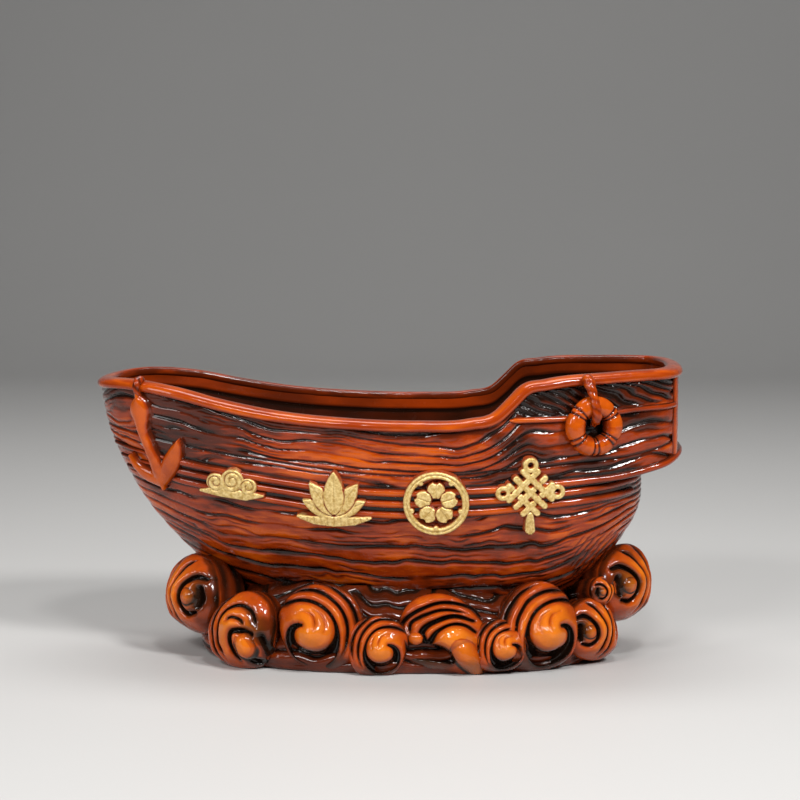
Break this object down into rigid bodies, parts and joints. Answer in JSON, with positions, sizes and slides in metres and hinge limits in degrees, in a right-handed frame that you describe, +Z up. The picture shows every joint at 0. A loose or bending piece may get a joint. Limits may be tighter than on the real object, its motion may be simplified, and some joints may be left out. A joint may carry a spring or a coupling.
{
  "type": "incense burner",
  "caption": "Boat-shaped glazed stoneware incense burner: open ash bowl in the hull, rolled gunwale, anchors, lifebuoys and gilt reliefs, on a base of curling waves.",
  "frame": {"origin": "on the ground under the middle of the overall length and width", "axes": "+X from bow to stern, -Y the decorated port side, +Z up"},
  "size_m": [0.3002, 0.1452, 0.1491],
  "materials": {
    "body_glaze": "glossy orange-brown glaze over carved wood grain, near black in the recesses",
    "wave_glaze": "glossy orange glaze, darker between the ropes of water",
    "gilding": "soft gold lustre worn at the edges"
  },
  "bodies": {
    "root": {"hull_shell": "body_glaze", "gunwale_rim": "body_glaze", "upper_rub_rail_port": "body_glaze", "upper_rub_rail_starboard": "body_glaze", "middle_rub_rail_port": "body_glaze", "middle_rub_rail_starboard": "body_glaze", "lower_rub_rail_port": "body_glaze", "lower_rub_rail_starboard": "body_glaze", "quarter_rail_port": "body_glaze", "quarter_rail_starboard": "body_glaze", "corner_post_port": "body_glaze", "corner_post_starboard": "body_glaze", "anchor_port": "body_glaze", "anchor_starboard": "body_glaze", "lifebuoy_port": "body_glaze", "lifebuoy_starboard": "body_glaze", "lanyard_port": "body_glaze", "lanyard_starboard": "body_glaze", "cloud_ornament": "gilding", "lotus_ornament": "gilding", "roundel_ornament": "gilding", "knot_ornament": "gilding", "wave_base": "wave_glaze", "bow_curl": "wave_glaze", "bow_curl_port": "wave_glaze", "bow_curl_starboard": "wave_glaze", "forward_roller_port": "wave_glaze", "forward_roller_starboard": "wave_glaze", "midship_crest_port": "wave_glaze", "midship_crest_starboard": "wave_glaze", "aft_roller_port": "wave_glaze", "aft_roller_starboard": "wave_glaze", "stern_curl_port": "wave_glaze", "stern_curl": "wave_glaze", "bow_ripple_port": "wave_glaze", "bow_ripple_starboard": "wave_glaze", "forward_ripple_port": "wave_glaze", "forward_ripple_starboard": "wave_glaze", "aft_ripple_port": "wave_glaze", "aft_ripple_starboard": "wave_glaze", "stern_ripple_port": "wave_glaze", "stern_ripple_starboard": "wave_glaze"}
  },
  "joints": []
}
